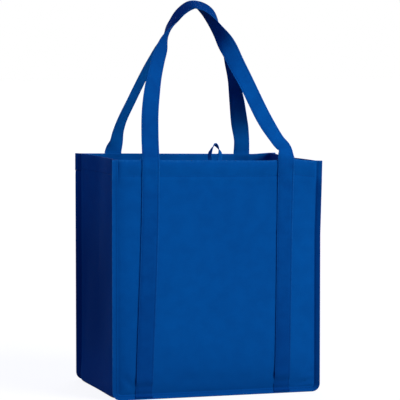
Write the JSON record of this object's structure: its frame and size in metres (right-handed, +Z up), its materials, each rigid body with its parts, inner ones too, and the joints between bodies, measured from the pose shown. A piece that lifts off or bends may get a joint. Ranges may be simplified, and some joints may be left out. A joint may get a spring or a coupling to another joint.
{
  "type": "tote bag",
  "caption": "Open-topped upright cloth tote bag with flat panels, outward seams, strap handles drawn together above the rim, and a hang loop.",
  "frame": {"origin": "on the floor, in the middle of the bag's footprint", "axes": "+Z up through the open top, +X to the right along the front panel, -Y out of the front panel"},
  "size_m": [0.305, 0.2064, 0.5553],
  "materials": {
    "panel_cloth": "matte non-woven polypropylene, royal blue",
    "gusset_cloth": "matte non-woven polypropylene, royal blue",
    "strap_cloth": "matte folded non-woven polypropylene, royal blue",
    "tape": "matte narrow tape, royal blue",
    "board": "matte dark board"
  },
  "bodies": {
    "root": {"front_panel": "panel_cloth", "back_panel": "panel_cloth", "gusset": "gusset_cloth", "front_handle": "strap_cloth", "back_handle": "strap_cloth", "hang_loop": "tape", "base_board": "board"}
  },
  "joints": []
}
